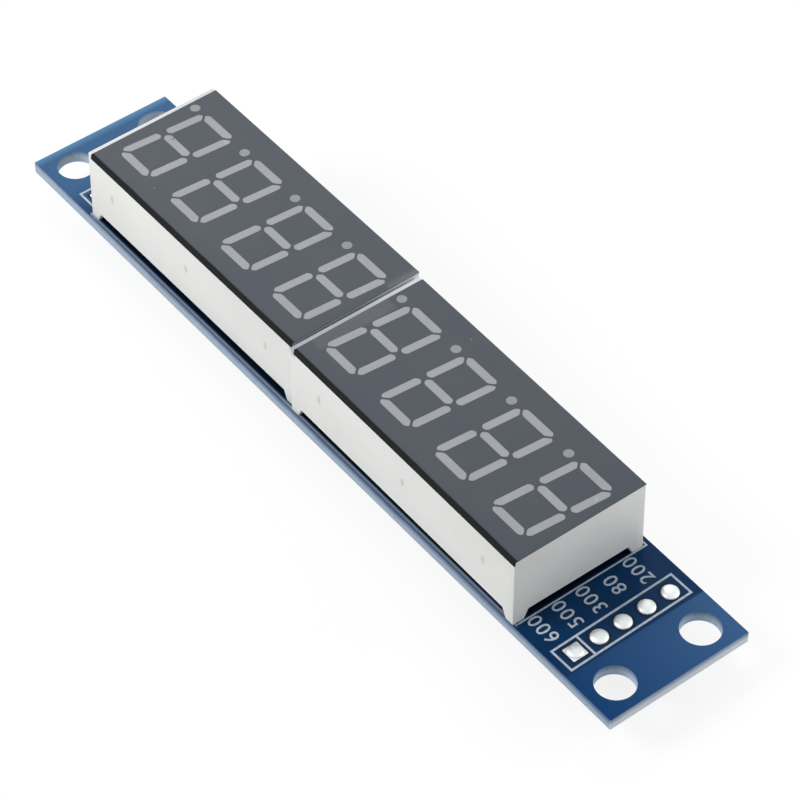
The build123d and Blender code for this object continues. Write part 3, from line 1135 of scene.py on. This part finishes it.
def makeJoints():
    bm = bmesh.new()
    for side in sides:
        pins = meshOf(side + "_display_pins")
        for island in islandsOf(pins):
            centre = centreOf(island)
            share = random.uniform(*jointShape["uneven"])
            profile = [(r * mm, boardUnder - h * mm * share) for r, h in jointShape["profile"]]
            profile = [(jointShape["core"], boardUnder)] + [(jointShape["core"], profile[0][1])] + profile
            profile.append(profile[0])
            addTurned(bm, profile, (centre.x, centre.y), jointShape["steps"])
        pins.free()
    finishPiece(bm, "pinSolder", solderMetal, ["display_pin_solder"], 50)


trackShape = {
    "width": 0.16 * mm,
    "rise": 0.018 * mm,
    "corner": 0.3 * mm,
    "firstLevel": 6.2 * mm,  # the outer tracks lie beyond the pins' solder
    "levelStep": 0.25 * mm,
    "perCorner": 5,
    "leadPitch": 1.27 * mm,
    "leads": 12,
    "leadEnd": 5.5 * mm,
    "padReach": (4.2 * mm, 5.62 * mm),
    "padHalfWidth": 0.33 * mm,
    "lanes": (1.4 * mm, 1.0 * mm, -1.1 * mm, -1.5 * mm),
    "supplyLane": 2.6 * mm,
    "supplyWidth": 0.5 * mm,
    "headerRun": 1.4 * mm,  # how far a track leaves its pad before it turns
    "viaGap": 0.6 * mm,
    "viaInset": 1.2 * mm,
    "via": 0.3 * mm,
    "viaSteps": 20,
}


def sortedPins(side):
    # pin centres of a block, each row from the module's middle outwards
    pins = meshOf(side + "_display_pins")
    spots = [centreOf(island) for island in islandsOf(pins)]
    pins.free()
    middle = sum(p.y for p in spots) / len(spots)
    chipX = (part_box("driver_chip_body")[0].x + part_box("driver_chip_body")[1].x) / 2
    rows = ([p for p in spots if p.y > middle], [p for p in spots if p.y <= middle])
    return [sorted(row, key=lambda p: abs(p.x - chipX)) for row in rows]


def leadPlaces():
    low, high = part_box("driver_chip_leads")
    middle = (low.x + high.x) / 2
    count = trackShape["leads"]
    return [middle + (i - (count - 1) / 2) * trackShape["leadPitch"] for i in range(count)]


def pinTracks(bm, side):
    # nested tracks from the chip's outer leads round to a block's pins
    shape = trackShape
    corner = shape["corner"]
    towards = -1 if side == "left" else 1
    order = leadPlaces()[::-towards]
    for row, up in zip(sortedPins(side), (1, -1)):
        for k in range(shape["perCorner"]):
            x, pin = order[k], row[k]
            start = (x, up * shape["leadEnd"])
            if k == 0:
                points = [start, (x, pin.y), (pin.x, pin.y)]
            else:
                level = up * (shape["firstLevel"] + k * shape["levelStep"])
                bend = up * corner
                points = [start, (x, level - bend), (x + towards * corner, level)]
                points += [(pin.x - towards * corner, level), (pin.x, level - bend), (pin.x, pin.y)]
            addRibbon(bm, points, shape["width"], boardUnder, shape["rise"])


def headerTrack(bm, start, lane, finish, way, width):
    # from a pad, straight for a short run, slanting to its lane and along it
    x, y = start
    run = trackShape["headerRun"]
    turn = x + way * (run + abs(y - lane))
    points = [(x, y), (x + way * run, y), (turn, lane), (finish, lane)]
    addRibbon(bm, points, width, boardUnder, trackShape["rise"])


def makeTracks():
    shape = trackShape
    bm = bmesh.new()
    for side in sides:
        pinTracks(bm, side)
    chipLow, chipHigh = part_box("driver_chip_body")
    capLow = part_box("bulk_capacitor_caps")[0]
    for end, edge, way in (("input", chipLow.x, 1), ("output", chipHigh.x, -1)):
        places = padPlaces(end)
        finish = edge + way * shape["viaInset"]
        for place, lane in zip(places[1:], shape["lanes"]):
            headerTrack(bm, place, lane, finish, way, shape["width"])
        supplyEnd = capLow.x if end == "input" else finish
        headerTrack(bm, places[0], shape["supplyLane"], supplyEnd, way, shape["supplyWidth"])
    finishPiece(bm, "underTracks", traceMask, (), 40)


def makeLandings():
    # tinned lands below the chip's leads and the ends of the long tracks
    shape = trackShape
    bm = bmesh.new()
    first, last = shape["padReach"]
    half = shape["padHalfWidth"]
    for x in leadPlaces():
        for up in (1, -1):
            low, high = sorted((up * first, up * last))
            addFlat(bm, (x - half, low), (x + half, high), boardUnder, -shape["rise"])
    chipLow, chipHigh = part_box("driver_chip_body")
    gap = shape["viaGap"]
    for x in (chipLow.x - gap, chipHigh.x + gap):
        for lane in shape["lanes"]:
            addDisc(bm, (x, lane), shape["via"], boardUnder, -2 * shape["rise"], shape["viaSteps"])
    finishPiece(bm, "underLands", tinned, (), 30)


def printUnder():
    shape = printShape
    bm = bmesh.new()
    for end, towards in (("input", 1), ("output", -1)):
        printHeader(bm, end, boardUnder, -1)
        printLabels(bm, end, towards, boardUnder, -1)
    low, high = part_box("driver_chip_body")
    gap, line = shape["chipGap"], shape["line"]
    for x in (low.x - gap, high.x + gap):
        addFlat(bm, (x - line / 2, low.y), (x + line / 2, high.y), boardUnder, -shape["rise"])
    place = (low.x - 2 * gap, high.y + shape["dot"])
    addDisc(bm, place, shape["dot"], boardUnder, -shape["rise"], shape["dotSteps"])
    finishPiece(bm, "underPrint", silkInk, (), 30)


partRounds = {
    "chip": 0.07 * mm,
    "lead": 0.05 * mm,  # solder at a lead or an end cap too
    "capacitor": 0.04 * mm,
    "resistor": 0.03 * mm,
    "cap": 0.03 * mm,
}


def makeResistor():
    # white ceramic with a dark glaze on the face away from the board
    offset = partRounds["resistor"]
    piece = softCopy("set_resistor_body", "resistorBody", ceramicWhite, offset)
    secondFinish(piece, glaze, lambda face: face.normal.z < -0.9)


makeTracks()
makeLandings()
printUnder()
makeJoints()
softCopy("driver_chip_body", "chipBody", chipBlack, partRounds["chip"], 3)
softCopy("driver_chip_leads", "chipLeads", pinMetal, partRounds["lead"])
softCopy("driver_chip_solder", "chipSolder", solderMetal, partRounds["lead"])
softCopy("passive_solder", "passiveSolder", solderMetal, partRounds["lead"])
for name in ("bulk", "bypass"):
    node = name + "_capacitor_body"
    softCopy(node, name + "Capacitor", capacitorTan, partRounds["capacitor"])
makeResistor()
for name in ("bulk_capacitor", "bypass_capacitor", "set_resistor"):
    softCopy(name + "_caps", name.split("_")[0] + "Caps", tinned, partRounds["cap"])
dress("circuit_board", boardMask)
print("underside made")

# camera, lamps and floor

view = {
    "azimuth": 232.118,
    "elevation": 47.166,
    "roll": -0.074,
    "distance": 300.243 * mm,
    "target": (-3.264 * mm, -0.832 * mm, boardTop),
    "focalPixels": 3478.6,
    "picturePixels": 800,
    "sensor": 36.0,
    "clip": (0.01, 10),
}


def turnTowards(direction):
    # a turn that points an object's own Z, its back, along a direction
    return direction.to_track_quat("Z", "Y").to_matrix().to_4x4()


def makeCamera():
    azimuth, elevation = math.radians(view["azimuth"]), math.radians(view["elevation"])
    back = Vector((
        math.sin(azimuth) * math.cos(elevation),
        -math.cos(azimuth) * math.cos(elevation),
        math.sin(elevation),
    ))
    data = bpy.data.cameras.new("camera")
    data.sensor_width = view["sensor"]
    data.lens = view["focalPixels"] / view["picturePixels"] * view["sensor"]
    data.clip_start, data.clip_end = view["clip"]
    camera = newObject("camera", data)
    place = Vector(view["target"]) + back * view["distance"]
    roll = Matrix.Rotation(math.radians(view["roll"]), 4, "Z")
    camera.matrix_world = Matrix.Translation(place) @ turnTowards(back) @ roll
    scene.camera = camera


light = {
    "world": 0.30,
    "worldColour": (0.96, 0.98, 1.0),
    "floorGlow": 0.84,
    "floorShown": (0.20, 0.20, 0.20),
    "floorBounce": (0.82, 0.82, 0.82),
    "floorSize": 3.0,
    "floorGap": 0.02 * mm,
}

lamps = {
    # aim, direction from there, distance, width and the level on a white surface
    "sheen": ((0.01, 0, 0), (0.66, -0.36, 0.66), 0.36, 0.26, 0.26),
    "high": ((0, 0, 0), (0.45, 0.70, 0.62), 0.40, 0.20, 0.62),
    "front": ((-0.029, -0.006, 0.006), (-0.60, -0.72, 0.35), 0.09, 0.05, 0.42),
}


def makeLamp(name, aim, direction, distance, width, level):
    # a round soft lamp that gives a white surface facing it the wanted level
    data = bpy.data.lights.new(name, "AREA")
    data.shape = "DISK"
    data.size = width
    data.energy = level * (math.pi * distance) ** 2
    lamp = newObject(name, data)
    lamp.visible_camera = False
    towards = Vector(direction).normalized()
    lamp.matrix_world = Matrix.Translation(Vector(aim) + towards * distance) @ turnTowards(towards)


def seenRay(tree):
    # 1 for rays that see the background: from the camera, in gloss or through glass
    path = newNode(tree, "LightPath")
    total = path.outputs["Is Camera Ray"]
    for name in ("Is Glossy Ray", "Is Transmission Ray"):
        add = newNode(tree, "Math")
        add.operation = "MAXIMUM"
        tree.links.new(total, add.inputs[0])
        tree.links.new(path.outputs[name], add.inputs[1])
        total = add.outputs[0]
    return total


def makeWorld():
    world = bpy.data.worlds.new("studio")
    scene.world = world
    world.use_nodes = True
    tree = world.node_tree
    tree.nodes.clear()
    white = newNode(tree, "Background", Color=(1, 1, 1, 1))
    soft = newNode(tree, "Background", Color=(*light["worldColour"], 1), Strength=light["world"])
    mix = newNode(tree, "MixShader")
    out = newNode(tree, "OutputWorld")
    tree.links.new(seenRay(tree), mix.inputs[0])
    tree.links.new(soft.outputs[0], mix.inputs[1])
    tree.links.new(white.outputs[0], mix.inputs[2])
    tree.links.new(mix.outputs[0], out.inputs[0])


def makeFloorPaint():
    # shows as a pale floor with the object's shadow, and bounces light as white card does
    material = bpy.data.materials.new("floorPaint")
    material.use_nodes = True
    tree = material.node_tree
    tree.nodes.clear()
    out = newNode(tree, "OutputMaterial")
    shown = newNode(tree, "BsdfDiffuse", Color=(*light["floorShown"], 1))
    glow = newNode(tree, "Emission", Strength=light["floorGlow"])
    both = newNode(tree, "AddShader")
    bounce = newNode(tree, "BsdfDiffuse", Color=(*light["floorBounce"], 1))
    mix = newNode(tree, "MixShader")
    tree.links.new(shown.outputs[0], both.inputs[0])
    tree.links.new(glow.outputs[0], both.inputs[1])
    tree.links.new(seenRay(tree), mix.inputs[0])
    tree.links.new(bounce.outputs[0], mix.inputs[1])
    tree.links.new(both.outputs[0], mix.inputs[2])
    tree.links.new(mix.outputs[0], out.inputs[0])
    return material


def makeFloor():
    bm = bmesh.new()
    bmesh.ops.create_grid(bm, x_segments=1, y_segments=1, size=light["floorSize"] / 2)
    bmesh.ops.translate(bm, verts=bm.verts, vec=(0, 0, cadBounds[0].z - light["floorGap"]))
    newObject("floor", meshFrom(bm, "floor", makeFloorPaint()))


makeCamera()
makeWorld()
makeFloor()
for name, values in lamps.items():
    makeLamp(name, *values)
print("stage set")
